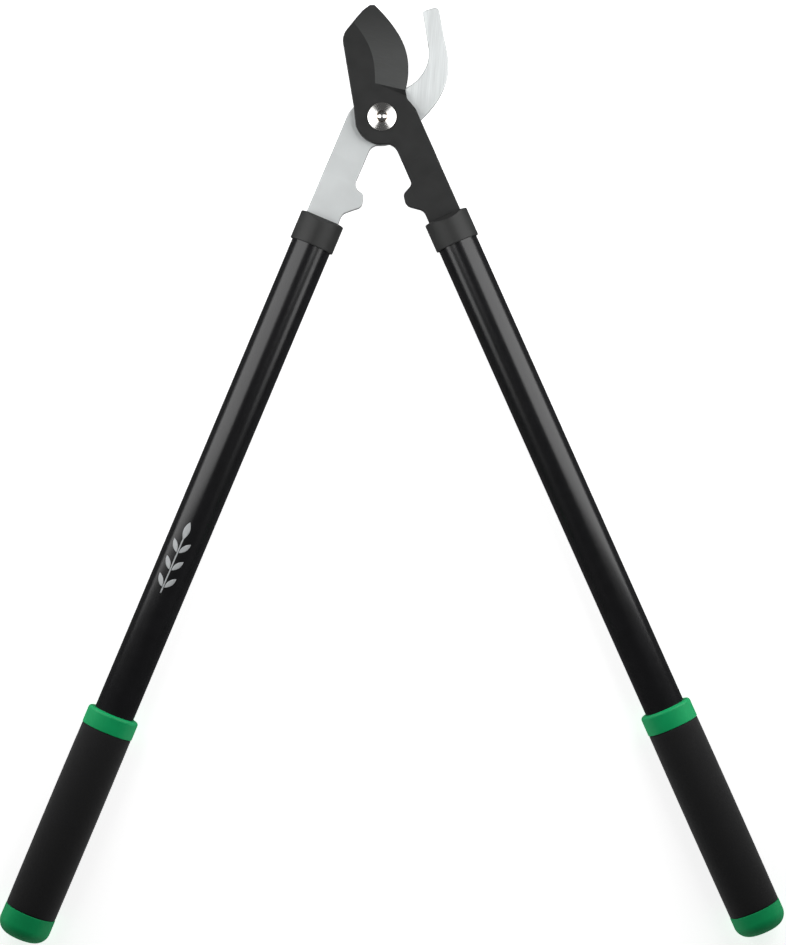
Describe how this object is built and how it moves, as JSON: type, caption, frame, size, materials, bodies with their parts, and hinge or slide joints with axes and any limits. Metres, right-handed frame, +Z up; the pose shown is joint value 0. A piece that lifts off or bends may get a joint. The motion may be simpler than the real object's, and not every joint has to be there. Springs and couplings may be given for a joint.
{
  "type": "bypass lopper",
  "caption": "Bypass garden lopper: a curved cutting blade shears past a hooked counter blade about a pivot, worked by long tubular handles with soft grips.",
  "frame": {"origin": "on the pivot's axis, at the surface that the tool lies on: the flat end of the pivot bolt", "axes": "+Z up along the pivot's axis, out of the front faces of the blades; +Y from the pivot to the blade tips; +X to the right seen from above"},
  "size_m": [0.5486, 0.6566, 0.037],
  "materials": {
    "blade_black": "satin black coated steel",
    "hook_steel": "satin ground steel",
    "pivot_polished": "polished turned steel",
    "zinc_plate": "zinc plated",
    "nylon": "nylon",
    "tube_black": "glossy black coated aluminium",
    "collar_grey": "satin dark grey moulding",
    "plug_plastic": "moulded",
    "rivet_metal": "plain steel",
    "grip_green": "satin green moulding",
    "cap_green": "satin green moulding",
    "grip_black": "soft matte black"
  },
  "bodies": {
    "hook_arm": {"hook_blade": "hook_steel", "pivot_bolt": "pivot_polished", "cone_washer": "pivot_polished", "back_washer": "zinc_plate", "lock_nut": "zinc_plate", "nut_insert": "nylon", "left_tube": "tube_black", "left_collar": "collar_grey", "left_tang_plug": "plug_plastic", "left_tang_rivet": "rivet_metal", "left_grip_ring": "grip_green", "left_grip_sleeve": "grip_black", "left_end_cap": "cap_green"},
    "blade_arm": {"cutting_blade": "blade_black", "right_tube": "tube_black", "right_collar": "collar_grey", "right_tang_plug": "plug_plastic", "right_tang_rivet": "rivet_metal", "right_grip_ring": "grip_green", "right_grip_sleeve": "grip_black", "right_end_cap": "cap_green"}
  },
  "joints": [
    {"name": "jaw_pivot", "type": "hinge", "parent": "hook_arm", "child": "blade_arm", "pos_m": [0, 0, 0.0185], "axis": [0, 0, 1], "range_deg": [-27, 45]}
  ]
}
